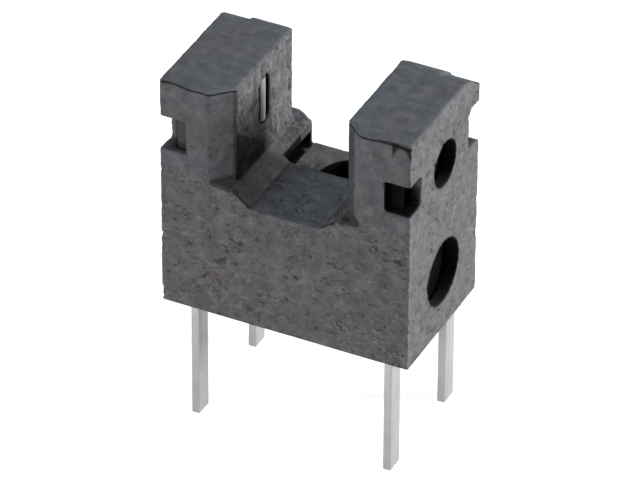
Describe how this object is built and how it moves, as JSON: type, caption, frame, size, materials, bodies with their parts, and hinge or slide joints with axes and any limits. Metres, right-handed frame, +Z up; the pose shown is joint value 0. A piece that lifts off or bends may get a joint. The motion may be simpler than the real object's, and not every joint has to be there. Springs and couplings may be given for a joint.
{
  "type": "slotted optical switch",
  "caption": "Small through-hole slotted optical switch: a black moulded two-tower housing whose slit apertures face each other across a slot, on flat tinned leads.",
  "frame": {"origin": "middle of the housing's underside, on the plane where it meets the circuit board", "axes": "+X from the emitter end to the detector end, +Y towards the rear where the tower tops slope, +Z up out of the board"},
  "size_m": [0.0082, 0.0048, 0.0122],
  "materials": {
    "housing_plastic": "fine spark-eroded moulding, smooth on the tops and in the openings",
    "clear_epoxy": "smooth moulded, clear to infrared",
    "dark_epoxy": "smooth moulded, blocks daylight",
    "tinned_leads": "matte tin plate on stamped strip",
    "emitter_crystal": "sawn and polished crystal",
    "detector_crystal": "sawn and polished crystal",
    "bond_wire": "bright drawn gold"
  },
  "bodies": {
    "root": {"housing": "housing_plastic", "emitter_body": "clear_epoxy", "emitter_chip_lead": "tinned_leads", "emitter_bond_lead": "tinned_leads", "emitter_chip": "emitter_crystal", "emitter_bond_wire": "bond_wire", "detector_body": "dark_epoxy", "detector_chip_lead": "tinned_leads", "detector_bond_lead": "tinned_leads", "detector_chip": "detector_crystal", "detector_bond_wire": "bond_wire"}
  },
  "joints": []
}
